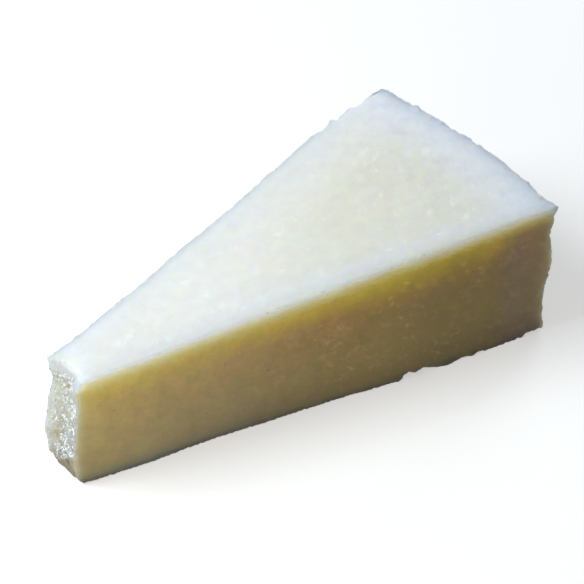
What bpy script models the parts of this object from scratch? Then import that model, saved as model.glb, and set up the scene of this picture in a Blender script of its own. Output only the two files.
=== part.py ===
"""A chunk of hard sheep's-milk cheese: a wedge cut out of a round wheel, lying on a cut face.

The chunk is one solid. Its two long sides, its top and its base were cut with a knife. Its thick
end is the wheel's rind, and its thin end is a break, where the paste came away in crags. The
wedge is worked out round the wheel's own axis, with +X along the wedge, and the finished chunk is
then set with its box centred over the origin and its flat base at z = 0. Lengths are in metres.
"""

import math

import bmesh
import bpy
from mathutils import Matrix, Vector, noise

MM = 0.001

# The wheel, and the wedge that was cut out of it
WHEEL_RADIUS = 165 * MM
HALF_ANGLE = math.radians(13.1)
TIP_X = 26.6 * MM
CORNER_X = WHEEL_RADIUS * math.cos(HALF_ANGLE)
TIP_HEIGHT = 33.6 * MM
RIND_HEIGHT = 43.0 * MM
RIND_STEPS = 32

# How far the two long cuts stand out, in mm, at shares of their length
CUT_SHARES = (0.0, 0.12, 0.25, 0.50, 0.68, 0.80, 1.0)
FRONT_AT_BASE = (0.0, 0.2, -0.5, 0.0, 1.1, 0.6, 0.0)
FRONT_AT_TOP = (0.0, 0.0, 0.0, -0.2, -0.5, -0.5, 0.0)
BACK_AT_TOP = (1.0, 0.1, -0.4, -0.5, -0.2, 0.3, 0.2)

# How far the broken end stands out, in mm, at shares of the height: back edge, middle, front edge
TIP_LEVELS = (0.0, 0.08, 0.20, 0.40, 0.60, 0.80, 0.93, 1.0)
TIP_BACK = (-0.3, 1.4, 3.3, 3.7, 1.6, -1.2, -0.6, 1.4)
TIP_MIDDLE = (1.0, 1.8, 2.2, 1.3, 0.3, -0.9, -1.3, -1.3)
TIP_FRONT = (0.7, 2.0, 2.6, 1.6, 0.8, 0.1, 0.0, 0.0)
TIP_REACH = 9 * MM

# How far the rind stands out, in mm, at shares of the height: beside each cut, and between them
RIND_LEVELS = (0.0, 0.15, 0.30, 0.38, 0.46, 0.62, 0.80, 0.92, 1.0)
RIND_FRONT = (-0.2, -1.0, -1.2, -1.1, 0.4, 0.4, -0.8, 0.2, 1.4)
RIND_MIDDLE = (0.0, 0.0, -0.1, -0.1, 0.3, 0.3, 0.1, 0.0, -0.3)
RIND_BACK = (0.0, 0.0, -0.1, -0.1, 0.3, 0.3, 0.3, 1.0, 1.9)
RIND_FRONT_REACH = math.radians(2.4)
RIND_BACK_REACH = math.radians(7.5)
RIND_REACH = 7 * MM

# Bites out of the arrises. Each has its arris, its share of the way along it, its length, width and
# depth in mm, and how far it is turned so that one end of it is steeper than the other, in degrees
BITES = {
    "base_middle": ("front_base", 0.722, 17, 11, 1.3, 9),
    "base_outer": ("front_base", 0.828, 14, 10, 0.9, 9),
    "base_corner": ("front_base", 0.968, 9, 8, 1.3, 8),
    "flake_start": ("back_top", 0.832, 11, 11, 1.4, 8),
    "flake": ("back_top", 0.970, 42, 26, 2.6, 3),
    "rind_step": ("rind_top", 0.346, 9, 9, 0.9, -12),
    "rind_second_step": ("rind_top", 0.445, 10, 10, 0.8, -10),
    "rind_dent": ("rind_top", 0.900, 9, 9, 0.8, 0),
    "tip_scoop": ("tip_top", 0.500, 30, 20, 2.1, 0),
}
BITE_UNEVENNESS = 0.12
BITE_BUMPS = 5

# Relief: how deep it is, and how far apart its bumps are
CRAG_DEPTH = 0.7 * MM
CRAG_SPACING = 3.2 * MM
GRANULE_DEPTH = 0.5 * MM
GRANULE_SPACING = 1.6 * MM
GRANULE_SIZE = 0.45
KNIFE_DEPTH = 0.12 * MM
KNIFE_SPACING = 11 * MM
RIND_DEPTH = 0.3 * MM
RIND_SPACING = 6 * MM

# Where relief ends: how far in from the break and the rind, how near the break's side edges as a
# share of its half width, and how high above the base it is still faint
CRAG_REACH = 2.5 * MM
CRAG_EDGE = 0.85
RIND_SKIN = 1 * MM
FAINT_BELOW = 2 * MM

# The solid's skin: the remesh's octree depth, how near the base counts as base, and how many
# triangles are kept
SKIN_DEPTH = 8
FLAT_BASE = 0.25 * MM
TRIANGLES = 9500

# The base's rim under the rind's curve is a little off the ground: where the base starts to rise,
# how steeply, and how far up the rind the rise fades out
FOOT_X = CORNER_X + 0.3 * MM
FOOT_SLOPE = 0.1
FOOT_REACH = 5 * MM

PASTE_COLOUR = (0.78, 0.72, 0.54, 1.0)
PASTE_ROUGHNESS = 0.5


def mix(a, b, share):
    return a + (b - a) * share


def ease(low, high, value):
    """0 below low, 1 above high, and a smooth step between them."""
    share = min(max((value - low) / (high - low), 0.0), 1.0)
    return share * share * (3 - 2 * share)


def profile(levels, offsets, level):
    """The offset at a level, with an eased run between each two points of the profile."""
    for low, high, start, end in zip(levels, levels[1:], offsets, offsets[1:]):
        if level <= high:
            return mix(start, end, ease(low, high, level)) * MM
    return offsets[-1] * MM


def top_height(x):
    return mix(TIP_HEIGHT, RIND_HEIGHT, (x - TIP_X) / (WHEEL_RADIUS - TIP_X))


def on_cut(x, side, level):
    """A point of a long cut face: side is -1 at the front and 1 at the back."""
    return Vector((x, side * x * math.tan(HALF_ANGLE), level * top_height(x)))


def on_rind(angle, level):
    """A point of the rind, by its angle from the wedge's middle."""
    x = WHEEL_RADIUS * math.cos(angle)
    return Vector((x, WHEEL_RADIUS * math.sin(angle), level * top_height(x)))


def add_object(name, bm):
    mesh = bpy.data.meshes.new(name)
    bm.to_mesh(mesh)
    bm.free()
    obj = bpy.data.objects.new(name, mesh)
    bpy.context.scene.collection.objects.link(obj)
    return obj


def add_wedge():
    """The unbroken wedge: its plan outline, raised to the sloping top."""
    bm = bmesh.new()
    turns = [mix(-HALF_ANGLE, HALF_ANGLE, i / RIND_STEPS) for i in range(RIND_STEPS + 1)]
    outline = [on_cut(TIP_X, 1, 0), on_cut(TIP_X, -1, 0)] + [on_rind(turn, 0) for turn in turns]
    base = bm.faces.new([bm.verts.new(point) for point in outline])
    raised = bmesh.ops.extrude_face_region(bm, geom=[base], use_keep_orig=True)
    for item in raised["geom"]:
        if isinstance(item, bmesh.types.BMVert):
            item.co.z = top_height(item.co.x)
    bmesh.ops.recalc_face_normals(bm, faces=bm.faces)
    return add_object("cheese_chunk", bm)


def arris_frame(arris, share):
    """The point a share of the way along an arris, the way along it there, and the way out."""
    level = 0 if arris.endswith("base") else 1
    up = Vector((0, 0, 2 * level - 1))
    if arris.startswith("rind"):
        angle = mix(HALF_ANGLE, -HALF_ANGLE, share)
        point = on_rind(angle, level)
        out = Vector((math.cos(angle), math.sin(angle), 0))
        along = Vector((out.y, -out.x, 0))
    elif arris.startswith("tip"):
        along = Vector((0, -1, 0))
        out = Vector((-1, 0, 0))
        point = on_cut(TIP_X, 1, level).lerp(on_cut(TIP_X, -1, level), share)
    else:
        side = -1 if arris.startswith("front") else 1
        point = on_cut(mix(TIP_X, CORNER_X, share), side, level)
        along = (on_cut(CORNER_X, side, level) - on_cut(TIP_X, side, level)).normalized()
        out = Vector((-math.sin(HALF_ANGLE), side * math.cos(HALF_ANGLE), 0))
    out = (out + up).normalized()
    across = along.cross(out).normalized()
    return point, along, across.cross(along), across


def add_bite(name, arris, share, length, width, depth, turn):
    """The cutter of one bite: an uneven egg that lies along the arris, sunk in by its depth."""
    point, along, out, across = arris_frame(arris, share)
    bm = bmesh.new()
    bmesh.ops.create_icosphere(bm, subdivisions=4, radius=0.5)
    for vert in bm.verts:
        vert.co *= 1 + BITE_UNEVENNESS * noise.fractal(vert.co * BITE_BUMPS + point / MM, 0.8, 2.1, 3)
    bmesh.ops.scale(bm, vec=Vector((length, width, width)) * MM, verts=bm.verts)
    turned = Matrix((along, out, across)).transposed() @ Matrix.Rotation(math.radians(turn), 3, "Z")
    bmesh.ops.rotate(bm, cent=(0, 0, 0), matrix=turned, verts=bm.verts)
    deepest = min(vert.co.dot(out) for vert in bm.verts)
    bmesh.ops.translate(bm, vec=point - out * (deepest + depth * MM), verts=bm.verts)
    return add_object(name, bm)


def bite_arrises(chunk):
    """Cuts every bite out of the wedge with one Boolean."""
    cutters = bpy.data.collections.new("bites")
    for name, values in BITES.items():
        cutter = add_bite(name, *values)
        cutter.hide_render = True
        cutter.display_type = "WIRE"
        cutters.objects.link(cutter)
    cut = chunk.modifiers.new("bites", "BOOLEAN")
    cut.operation = "DIFFERENCE"
    cut.operand_type = "COLLECTION"
    cut.collection = cutters


def apply_modifiers(chunk):
    """Replaces the chunk's mesh by what its modifiers make of it."""
    graph = bpy.context.evaluated_depsgraph_get()
    mesh = bpy.data.meshes.new_from_object(chunk.evaluated_get(graph))
    chunk.modifiers.clear()
    chunk.data = mesh


def reshape(point):
    """Where a point of the plain wedge lies once the break, the rind and the bow have their form."""
    radius = math.hypot(point.x, point.y)
    angle = math.atan2(point.y, point.x)
    level = point.z / top_height(point.x)
    across = -angle / HALF_ANGLE

    middle = profile(TIP_LEVELS, TIP_MIDDLE, level)
    edge = profile(TIP_LEVELS, TIP_FRONT if across > 0 else TIP_BACK, level)
    swell = mix(middle, edge, ease(0, 1, abs(across)))
    radius -= swell * (1 - ease(0, TIP_REACH, point.x - TIP_X))

    rind = profile(RIND_LEVELS, RIND_MIDDLE, level)
    beside_front = ease(-RIND_FRONT_REACH, 0, -HALF_ANGLE - angle)
    beside_back = ease(-RIND_BACK_REACH, 0, angle - HALF_ANGLE)
    rind = mix(rind, profile(RIND_LEVELS, RIND_FRONT, level), beside_front)
    rind = mix(rind, profile(RIND_LEVELS, RIND_BACK, level), beside_back)
    radius += rind * ease(-RIND_REACH, 0, radius - WHEEL_RADIUS)

    along = (point.x - TIP_X) / (CORNER_X - TIP_X)
    front = mix(profile(CUT_SHARES, FRONT_AT_BASE, along), profile(CUT_SHARES, FRONT_AT_TOP, along), level)
    back = profile(CUT_SHARES, BACK_AT_TOP, along) * level
    y = radius * math.sin(angle) - front * ease(0, 1, across) + back * ease(0, 1, -across)
    return Vector((radius * math.cos(angle), y, point.z))


def relief(point):
    """How far the surface stands out at a point: crags on the break, and slight waves elsewhere."""
    waves = KNIFE_DEPTH * noise.noise(point / KNIFE_SPACING)
    across = abs(point.y) / (point.x * math.tan(HALF_ANGLE))
    on_tip = (1 - ease(0, CRAG_REACH, point.x - TIP_X)) * (1 - ease(CRAG_EDGE, 1, across))
    if on_tip > 0:
        crags = CRAG_DEPTH * noise.fractal(point / CRAG_SPACING, 0.8, 2.1, 3)
        nearest = noise.voronoi(point / GRANULE_SPACING)[0][0]
        granules = GRANULE_DEPTH * (GRANULE_SIZE - nearest)
        waves += on_tip * (crags + granules)
    from_rind = WHEEL_RADIUS - math.hypot(point.x, point.y)
    if from_rind < RIND_SKIN:
        waves += RIND_DEPTH * noise.fractal(point / RIND_SPACING, 0.9, 2.0, 3)
    return waves


def shape_skin(chunk):
    """Gives the chunk an even skin and moves it to the form of the break, the rind and the cuts."""
    remesh = chunk.modifiers.new("skin", "REMESH")
    remesh.mode = "SHARP"
    remesh.octree_depth = SKIN_DEPTH
    apply_modifiers(chunk)
    bm = bmesh.new()
    bm.from_mesh(chunk.data)
    bm.normal_update()
    bmesh.ops.triangulate(bm, faces=bm.faces)
    moved = []
    for vert in bm.verts:
        raised = relief(vert.co) * ease(0, FAINT_BELOW, vert.co.z)
        moved.append(reshape(vert.co) + vert.normal * raised)
    for vert, point in zip(bm.verts, moved):
        vert.co = point
    bm.to_mesh(chunk.data)
    bm.free()


def thin_out(chunk):
    """Leaves triangles where the form needs them, then makes the base flat up to the rind's corners."""
    thin = chunk.modifiers.new("thin", "DECIMATE")
    thin.ratio = TRIANGLES / len(chunk.data.polygons)
    apply_modifiers(chunk)
    for vert in chunk.data.vertices:
        if vert.co.z < FLAT_BASE:
            vert.co.z = 0
        rise = max(vert.co.x - FOOT_X, 0) * FOOT_SLOPE
        vert.co.z += rise * (1 - ease(0, FOOT_REACH, vert.co.z))


def centre(chunk):
    """Sets the middle of the chunk's box over the origin, with its base at z = 0."""
    points = [vert.co for vert in chunk.data.vertices]
    xs = [point.x for point in points]
    ys = [point.y for point in points]
    chunk.data.transform(Matrix.Translation((-(min(xs) + max(xs)) / 2, -(min(ys) + max(ys)) / 2, 0)))


def paste_material():
    paste = bpy.data.materials.new("paste")
    paste.use_nodes = True
    shader = paste.node_tree.nodes["Principled BSDF"]
    shader.inputs["Base Color"].default_value = PASTE_COLOUR
    shader.inputs["Roughness"].default_value = PASTE_ROUGHNESS
    shader.inputs["Metallic"].default_value = 0
    return paste


def main():
    for obj in list(bpy.data.objects):
        bpy.data.objects.remove(obj)
    chunk = add_wedge()
    bite_arrises(chunk)
    apply_modifiers(chunk)
    shape_skin(chunk)
    thin_out(chunk)
    centre(chunk)
    chunk.data.materials.append(paste_material())


main()
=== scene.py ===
"""A chunk of hard sheep's-milk cheese, dressed for the studio.

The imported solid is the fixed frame. This add-on gives it a fine skin with the marks of the knife, the
crags of its broken end and the rough rind, sets bright grains into the break, and stands the chunk on
a pale floor in soft light. Lengths are in metres, +X runs from the broken tip to the rind, and the
long cut that the photograph shows faces -Y.
"""

import math
import random

import bmesh
import bpy
import numpy as np
from bpy.props import FloatProperty, FloatVectorProperty, IntProperty, PointerProperty
from mathutils import Matrix, Vector, noise
from mathutils.kdtree import KDTree


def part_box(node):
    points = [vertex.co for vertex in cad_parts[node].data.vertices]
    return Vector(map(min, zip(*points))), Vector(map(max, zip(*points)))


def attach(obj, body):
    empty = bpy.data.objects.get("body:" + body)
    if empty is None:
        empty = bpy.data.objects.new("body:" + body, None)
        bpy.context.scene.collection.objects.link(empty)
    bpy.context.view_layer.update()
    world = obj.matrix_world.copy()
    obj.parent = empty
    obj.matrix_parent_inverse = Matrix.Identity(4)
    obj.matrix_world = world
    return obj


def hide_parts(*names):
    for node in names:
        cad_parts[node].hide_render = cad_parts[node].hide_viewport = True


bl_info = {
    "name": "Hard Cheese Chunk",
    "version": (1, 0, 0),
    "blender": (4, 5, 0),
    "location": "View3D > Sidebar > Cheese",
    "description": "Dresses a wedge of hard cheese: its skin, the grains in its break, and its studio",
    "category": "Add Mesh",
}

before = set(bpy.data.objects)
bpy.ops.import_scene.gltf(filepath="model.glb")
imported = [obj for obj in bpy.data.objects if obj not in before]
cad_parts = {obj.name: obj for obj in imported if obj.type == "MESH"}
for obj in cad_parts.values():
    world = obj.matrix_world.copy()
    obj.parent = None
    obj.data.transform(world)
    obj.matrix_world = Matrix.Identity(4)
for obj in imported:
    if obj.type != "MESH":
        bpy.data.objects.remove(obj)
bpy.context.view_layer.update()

MM = 0.001
NODE = "cheese_chunk"
LOW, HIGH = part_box(NODE)

# The wheel that the wedge was cut out of. Its axis stands WHEEL_RADIUS behind the rind, and the rind's
# own waves stand out past that by RIND_SWELL
WHEEL_RADIUS = 165 * MM
RIND_SWELL = 0.6 * MM
HALF_ANGLE = math.radians(13.1)
AXIS_X = HIGH.x - RIND_SWELL - WHEEL_RADIUS
TIP_X = 26.6 * MM
TIP_HEIGHT = 33.6 * MM
RIND_HEIGHT = 43.0 * MM

# How far the break reaches into the chunk, and how near its edges a fold counts as an arris
BREAK_REACH = 3.2 * MM
BREAK_BORDER = 1.1 * MM

# Corners of the solid that are nearer to each other than this are one
MERGE_GAP = 0.001 * MM


# ---- The wedge's own measures, for arrays of points


def ease(low, high, values):
    """0 below low, 1 above high, and a smooth step between them, for a number or an array."""
    share = np.clip((values - low) / (high - low), 0.0, 1.0)
    return share * share * (3 - 2 * share)


def fade(low, high, values):
    """1 below low, 0 above high, and a smooth step between them."""
    return 1 - ease(low, high, values)


def from_axis(points):
    """The points as the wheel's own axis sees them."""
    moved = points.copy()
    moved[:, 0] -= AXIS_X
    return moved


def rind_gap(points):
    """How far each point lies inside the wheel's rim."""
    seen = from_axis(points)
    return WHEEL_RADIUS - np.hypot(seen[:, 0], seen[:, 1])


def tip_gap(points):
    """How far each point lies behind the plane of the break."""
    return points[:, 0] - AXIS_X - TIP_X


def cut_gap(points, side):
    """How far each point lies inside the front long cut (side -1) or the back one (side 1)."""
    seen = from_axis(points)
    return seen[:, 0] * math.sin(HALF_ANGLE) - side * seen[:, 1] * math.cos(HALF_ANGLE)


def side_gap(points):
    """How far each point lies inside the nearer of the two long cuts."""
    return np.minimum(cut_gap(points, -1), cut_gap(points, 1))


def top_gap(points):
    """How far each point lies below the sloping top."""
    share = tip_gap(points) / (WHEEL_RADIUS - TIP_X)
    return TIP_HEIGHT + (RIND_HEIGHT - TIP_HEIGHT) * share - points[:, 2]


def edge_gap(points):
    """How far each point lies inside the nearest of the long cuts, the top and the base."""
    return np.minimum(np.minimum(side_gap(points), top_gap(points)), points[:, 2])


def inside_break(points):
    """Whether each point lies on the break, clear of its edges."""
    return (tip_gap(points) < BREAK_REACH) & (edge_gap(points) > BREAK_BORDER)


# ---- Mesh helpers


def add_object(name, data):
    """An object at the origin, linked to the scene, with its mesh, light or camera."""
    obj = bpy.data.objects.new(name, data)
    bpy.context.scene.collection.objects.link(obj)
    return obj


def add_shape(name, bm):
    """An object with a bmesh's shape."""
    mesh = bpy.data.meshes.new(name)
    bm.to_mesh(mesh)
    bm.free()
    return add_object(name, mesh)


def apply_modifiers(obj):
    """Replaces the object's mesh by what its modifiers make of it."""
    graph = bpy.context.evaluated_depsgraph_get()
    mesh = bpy.data.meshes.new_from_object(obj.evaluated_get(graph))
    obj.modifiers.clear()
    obj.data = mesh


def add_smooth(obj, rounds, group=""):
    """A modifier that evens the mesh out, where a vertex group asks for it if one is given."""
    smooth = obj.modifiers.new("smooth", "SMOOTH")
    smooth.factor = 0.5
    smooth.iterations = rounds
    smooth.vertex_group = group


def read_vectors(items, name):
    """Three numbers of every item, a row each."""
    values = np.empty(len(items) * 3)
    items.foreach_get(name, values)
    return values.reshape(-1, 3)


def read_points(mesh):
    return read_vectors(mesh.vertices, "co")


def read_normals(mesh):
    return read_vectors(mesh.vertex_normals, "vector")


def write_points(mesh, points):
    mesh.vertices.foreach_set("co", points.ravel())
    mesh.update()


def write_mask(mesh, name, values):
    """Keeps a number for each vertex, where the materials can read it."""
    mask = mesh.attributes.get(name) or mesh.attributes.new(name, "FLOAT", "POINT")
    mask.data.foreach_set("value", np.asarray(values, np.float32))


def merged_copy(node):
    """The node's solid as one closed bmesh."""
    bm = bmesh.new()
    bm.from_mesh(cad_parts[node].data)
    bmesh.ops.remove_doubles(bm, verts=bm.verts, dist=MERGE_GAP)
    bm.normal_update()
    return bm


def arris_points(bm, fold, spacing):
    """A tree of points along every arris: where the solid folds by more than an angle, off the break."""
    edges = [edge for edge in bm.edges if edge.calc_face_angle(0.0) > fold]
    middles = np.array([(edge.verts[0].co + edge.verts[1].co) / 2 for edge in edges])
    points = []
    for edge, inside in zip(edges, inside_break(middles)):
        if not inside:
            start, end = (vert.co for vert in edge.verts)
            steps = max(1, math.ceil((end - start).length / spacing))
            points += [start.lerp(end, i / steps) for i in range(steps + 1)]
    tree = KDTree(len(points))
    for i, point in enumerate(points):
        tree.insert(point, i)
    tree.balance()
    return tree


def distance_to(tree, points):
    return np.array([tree.find(point)[2] for point in points])


# ---- The kinds of value that a user can set


def count_property(name, description, default, least, most):
    return IntProperty(name=name, description=description, default=default, min=least, max=most)


def length_property(name, description, default, least=0.0):
    return FloatProperty(
        name=name, description=description, default=default, min=least, precision=5, unit="LENGTH"
    )


def angle_property(name, description, degrees):
    return FloatProperty(name=name, description=description, default=math.radians(degrees), unit="ROTATION")


def number_property(name, description, default):
    return FloatProperty(name=name, description=description, default=default, min=0)


def colour_property(name, description, default):
    return FloatVectorProperty(
        name=name, description=description, default=default, min=0, max=1, subtype="COLOR"
    )


# ---- The chunk's skin


class ChunkForm(bpy.types.PropertyGroup):
    skin: length_property("Skin", "Size of the skin's cells before it is thinned", 0.38 * MM, 0.2 * MM)
    triangles: count_property("Triangles", "How many triangles the skin keeps", 192000, 20000, 199000)
    fold: angle_property("Arris fold", "How sharply the solid has to fold for an edge to stay crisp", 16)
    nibble: length_property("Nibbled arrises", "How deep the small chips along the arrises go", 0.42 * MM)
    unevenness: length_property("Unevenness", "How far the cut faces wave", 0.16 * MM)
    pit: length_property("Pits", "How deep the small holes in the cut faces are", 0.28 * MM)
    facet: length_property("Facets", "How far the broken end steps from facet to facet", 0.75 * MM)
    granule: length_property("Granules", "How far the granules of the broken end stand out", 0.30 * MM)
    rind: length_property("Rind relief", "How deep the rind's wrinkles are", 0.28 * MM)
    seed: count_property("Seed", "Which of the many ways the break's facets can lean is used", 3, 1, 999)


# Smoothing: how far from a fold it starts and is full, its rounds, how much of it the break gets, the
# rounds that take the edge off every fold, and how finely the amount is stepped
SHARP_REACH = (0.5 * MM, 2.6 * MM)
SMOOTH_ROUNDS = 90
BREAK_SHARE = 0.22
ARRIS_ROUNDS = 6
WEIGHT_LEVELS = 20

# How far the rind's relief reaches into the chunk, and how near an arris the skin's cells are fine
RIND_REACH = 1.2 * MM
FINE_REACH = 1.4 * MM

# Small changes to the solid's outline. Each has its place (distance from the wheel's axis in mm, share
# of the way from the middle to the back cut, and share of the height), its reach in mm, and how far
# it moves the skin along X, Y and Z, in mm
TOUCHES = {
    "far_corner": (165, 0.97, 1.0, 5.0, (1.5, 0.0, -1.2)),
    "back_swell": (78, 1.0, 1.0, 12.0, (0.0, 0.0, 0.5)),
    "flake_start": (149, 1.0, 1.0, 3.0, (0.0, 0.0, -1.6)),
    "flake_slope": (152, 1.0, 1.0, 3.0, (0.0, 0.0, -0.6)),
    "flake_middle": (160, 1.0, 1.0, 3.5, (0.0, 0.0, 1.4)),
    "rind_lip": (165, 0.54, 1.0, 2.4, (0.2, 0.0, 0.9)),
    "rind_second_lip": (165, 0.31, 1.0, 2.4, (0.2, 0.0, 0.5)),
    "rind_notch": (165, 0.20, 1.0, 2.0, (0.0, 0.0, -0.6)),
    "front_ear": (165, -1.0, 1.0, 4.0, (-0.7, 0.0, 0.0)),
    "front_notch": (165, -0.89, 1.0, 2.0, (-0.6, 0.0, 0.0)),
    "base_bite": (121.5, -1.0, 0.0, 3.0, (0.0, 0.5, 2.0)),
    "base_second_bite": (126.5, -1.0, 0.0, 2.5, (0.0, 0.3, 0.7)),
    "base_tooth": (134, -1.0, 0.0, 3.0, (0.0, -0.7, 0.0)),
    "base_second_tooth": (141, -1.0, 0.0, 3.0, (0.0, -0.8, 0.0)),
    "base_corner": (164, -1.0, 0.0, 3.0, (0.0, 0.3, 0.8)),
    "tip_corner": (27, 1.0, 1.0, 3.0, (-0.8, 0.0, 1.0)),
    "tip_corner_under": (27, 1.0, 0.91, 2.4, (-0.8, 0.0, 0.0)),
    "tip_foot": (27, 0.5, 0.07, 4.0, (-0.9, 0.0, 0.0)),
    "tip_heel": (27, -1.0, 0.0, 3.0, (0.0, 0.15, 0.0)),
}

# The smooth parts of the break, and where each starts and ends: the scoop under its top edge, the foot,
# which rises towards the front by FOOT_RISE, the flat facet at its back edge, and the strip along its
# front edge. Their outlines wander
SCOOP = (1.7 * MM, 3.0 * MM)
FOOT = (4.6 * MM, 6.4 * MM)
FOOT_RISE = 0.65
FACET_EDGE = (4.2 * MM, 5.8 * MM)
FACET_FOOT = (5.5 * MM, 7.5 * MM)
FACET_TOP = (16 * MM, 18 * MM)
STRIP = (0.4 * MM, 1.5 * MM)
STRIP_WANDER = 0.4
WANDER_SPACING = 2.5 * MM
WANDER_REACH = 1.1 * MM

# The relief of the cut faces
WAVE_SPACING = 8 * MM
DRAG_LENGTH = 16 * MM
DRAG_SPACING = 1.1 * MM
DRAG_DEPTH = 0.03 * MM
PIT_SPACING = 3.4 * MM
PIT_SHARE = 0.20
PIT_RADIUS = 0.14
PIT_FLOOR = 0.4

# The relief of the arrises: some stretches are chipped more than others
NIBBLE_SPACING = 1.5 * MM
NIBBLE_PATCHES = 8 * MM
NIBBLE_REACH = 1.1 * MM
NIBBLE_LEAST = 0.35
NIBBLE_GAIN = 1.9
PATCH_LIFT = 0.25
CHIP_LIFT = 0.10
ARRIS_GAIN = 0.3 * MM

# The relief of the broken end. The shares are of the facets' height or of the granules'
FACET_SPACING = 2.6 * MM
FACET_STEP = 0.4
GRANULE_SPACING = 1.15 * MM
GRANULE_EDGE = 0.6
GRANULE_LEAST = 0.35
GRANULE_SINK = 0.4
GRAIN_SPACING = 0.55 * MM
GRAIN_SHARE = 0.35
ROUGH_SPACING = 2.4 * GRAIN_SPACING
ROUGH_SHARE = 0.5
CALM_SHARE = 0.5

# The relief of the rind
WRINKLE_SPACING = 3.2 * MM
DIMPLE_SPACING = 1.5 * MM
DIMPLE_SHARE = 0.6

# How each relief is roughened: how fast finer noise fades, how much finer each octave is, and how many
# octaves there are
WAVES = (0.9, 2.2, 3)
ROUGH = (0.7, 2.1, 3)
WRINKLES = (0.8, 2.1, 4)
CHIPS = (0.7, 2.2, 4)

# What a cell's centre is multiplied by before a number is drawn for it, so that the draws differ
NUMBER_DRAW = 7.3
LEAN_DRAW = 3.7
STEP_DRAW = 9.1

# The two ends of the step at which each relief comes in or goes. In this file a pair named FACING is how
# far the surface turns to the way in question, as its normal's part along an axis
END_FACING = (0.35, 0.7)
BASE_FACING = (0.5, 0.8)
BREAK_RELIEF = (0.4 * BREAK_REACH, BREAK_REACH)
RIND_RELIEF = (0.6 * RIND_REACH, RIND_REACH)
BASE_RELIEF = (0.2 * MM, 1.2 * MM)
BASE_CALM = 0.7

# The two ends of the step at which each material comes in or goes
RIND_DEPTH = (0.5 * RIND_REACH, 1.6 * RIND_REACH)
RIND_FACING = (0.2, 0.6)
BROKEN_DEPTH = (0.6 * BREAK_REACH, 1.2 * BREAK_REACH)
BROKEN_INSIDE = (0.9 * MM, 1.7 * MM)
BROKEN_FACING = (0.25, 0.6)
BROKEN_BACK = (2 * MM, 4 * MM)
BROKEN_BACK_FACING = (-0.2, 0.2)
TOP_DEPTH = (3 * MM, 6 * MM)
TOP_FACING = (0.45, 0.8)
SCOOP_BACK = (3.5 * MM, 5.5 * MM)
SCOOP_SIDE_FACING = (0.75, 0.95)
SCOOP_BRIM = (-0.3 * MM, 0.3 * MM)
SCOOP_FRONT = (0.5 * MM, 1.6 * MM)
BRINK_BACK = (2.5 * MM, 4 * MM)
BRINK_DEPTH = (2 * MM, 5 * MM)
BRINK_FACING = (0.12, 0.45)
RIM_FACING = (0.15, 0.5)
RIM_SIDE_SHARE = 0.6
HOLLOW_ROUNDS = 14

# The yellower core of the top: how far in from each of the top's edges it starts and is full
CORE_FRONT = (2 * MM, 11 * MM)
CORE_BACK = (6 * MM, 26 * MM)
CORE_RIND = (5 * MM, 22 * MM)
CORE_TIP = (40 * MM, 95 * MM)


def skin_over(body, form):
    """An even skin of small cells over the solid."""
    remesh = body.modifiers.new("skin", "REMESH")
    remesh.mode = "VOXEL"
    remesh.voxel_size = form.skin
    apply_modifiers(body)


def smooth_flats(body, tree):
    """Takes the solid's facets out of the flat stretches, and the edge off every fold."""
    points = read_points(body.data)
    far = ease(*SHARP_REACH, distance_to(tree, points))
    far = np.where(inside_break(points), far * BREAK_SHARE, far)
    flats = body.vertex_groups.new(name="flats")
    levels = np.round(far * WEIGHT_LEVELS).astype(int)
    for level in range(1, WEIGHT_LEVELS + 1):
        flats.add(np.flatnonzero(levels == level).tolist(), level / WEIGHT_LEVELS, "REPLACE")
    add_smooth(body, SMOOTH_ROUNDS, "flats")
    add_smooth(body, ARRIS_ROUNDS)
    apply_modifiers(body)
    body.vertex_groups.clear()


def touch_up(body):
    """Makes every small change to the outline."""
    points = read_points(body.data)
    for radius, side, level, reach, shift in TOUCHES.values():
        angle = side * HALF_ANGLE
        place = np.array([AXIS_X + radius * MM * math.cos(angle), radius * MM * math.sin(angle), 0.0])
        place[2] = level * top_gap(place[None])[0]
        near = fade(0, reach * MM, np.linalg.norm(points - place, axis=1))
        points += near[:, None] * np.array(shift) * MM
    write_points(body.data, points)


def refine(body, tree):
    """Halves the cells of the skin on the break and along every fold."""
    bm = bmesh.new()
    bm.from_mesh(body.data)
    points = read_points(body.data)
    fine = (distance_to(tree, points) < FINE_REACH) | inside_break(points)
    edges = [edge for edge in bm.edges if fine[edge.verts[0].index] and fine[edge.verts[1].index]]
    bmesh.ops.subdivide_edges(bm, edges=edges, cuts=1, use_grid_fill=True, smooth=0.0)
    bmesh.ops.triangulate(bm, faces=[face for face in bm.faces if len(face.verts) > 4])
    bm.to_mesh(body.data)
    bm.free()
    body.data.update()


def cell(point, spacing):
    """The two nearest cells' distances, as shares of the spacing, and the nearest one's own number."""
    distances, centres = noise.voronoi(point / spacing)
    return distances[0], distances[1], 0.5 + 0.5 * noise.cell(centres[0] * NUMBER_DRAW)


def cut_relief(point, form):
    """How far a knife-cut face stands out at a point."""
    waves = form.unevenness * noise.fractal(point / WAVE_SPACING, *WAVES)
    along = Vector((point.x / DRAG_LENGTH, point.y / DRAG_SPACING, point.z / DRAG_SPACING))
    drag = DRAG_DEPTH * noise.noise(along)
    nearest, _, number = cell(point, PIT_SPACING)
    radius = PIT_RADIUS * (0.5 + number / PIT_SHARE)
    pit = form.pit * float(ease(radius, radius * PIT_FLOOR, nearest)) if number < PIT_SHARE else 0
    return waves + drag - pit


def facet_height(point, spacing):
    """Flat facets that each lean their own way, in cells of a spacing."""
    _, centres = noise.voronoi(point / spacing)
    lean = noise.noise_vector(centres[0] * LEAN_DRAW)
    return lean.dot(point / spacing - centres[0]) + FACET_STEP * noise.noise(centres[0] * STEP_DRAW)


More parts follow.
